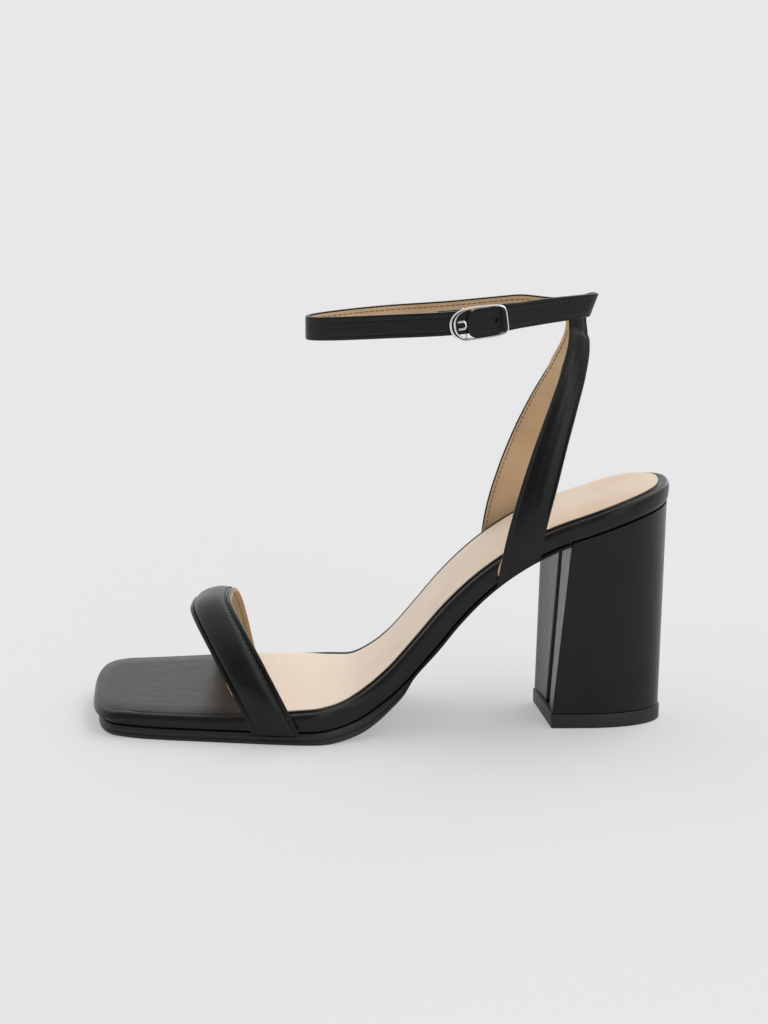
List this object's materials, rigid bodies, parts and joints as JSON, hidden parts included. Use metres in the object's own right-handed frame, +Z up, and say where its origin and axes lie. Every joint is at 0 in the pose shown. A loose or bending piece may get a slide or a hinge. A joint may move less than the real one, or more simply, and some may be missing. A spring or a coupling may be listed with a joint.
{
  "type": "heeled sandal",
  "caption": "Open-toe heeled sandal for the left foot, with a square toe, a padded toe strap, rising heel straps, a buckled ankle strap and a block heel.",
  "frame": {"origin": "middle of the shoe's box, on the floor it stands on", "axes": "+X from the toe to the heel, -Y towards the outer side with the buckle, +Z up"},
  "size_m": [0.2251, 0.0884, 0.1677],
  "materials": {
    "black_leather": "smooth black, low sheen",
    "sole_rubber": "satin black",
    "beige_lining": "matt beige lining",
    "plated_metal": "bright silver plating"
  },
  "bodies": {
    "root": {"outsole": "sole_rubber", "footbed": "black_leather", "insole_sock": "beige_lining", "heel_block": "black_leather", "top_lift": "sole_rubber", "toe_strap": "black_leather", "heel_straps": "black_leather", "ankle_strap": "black_leather", "buckle_frame": "plated_metal", "buckle_prong": "plated_metal"}
  },
  "joints": []
}
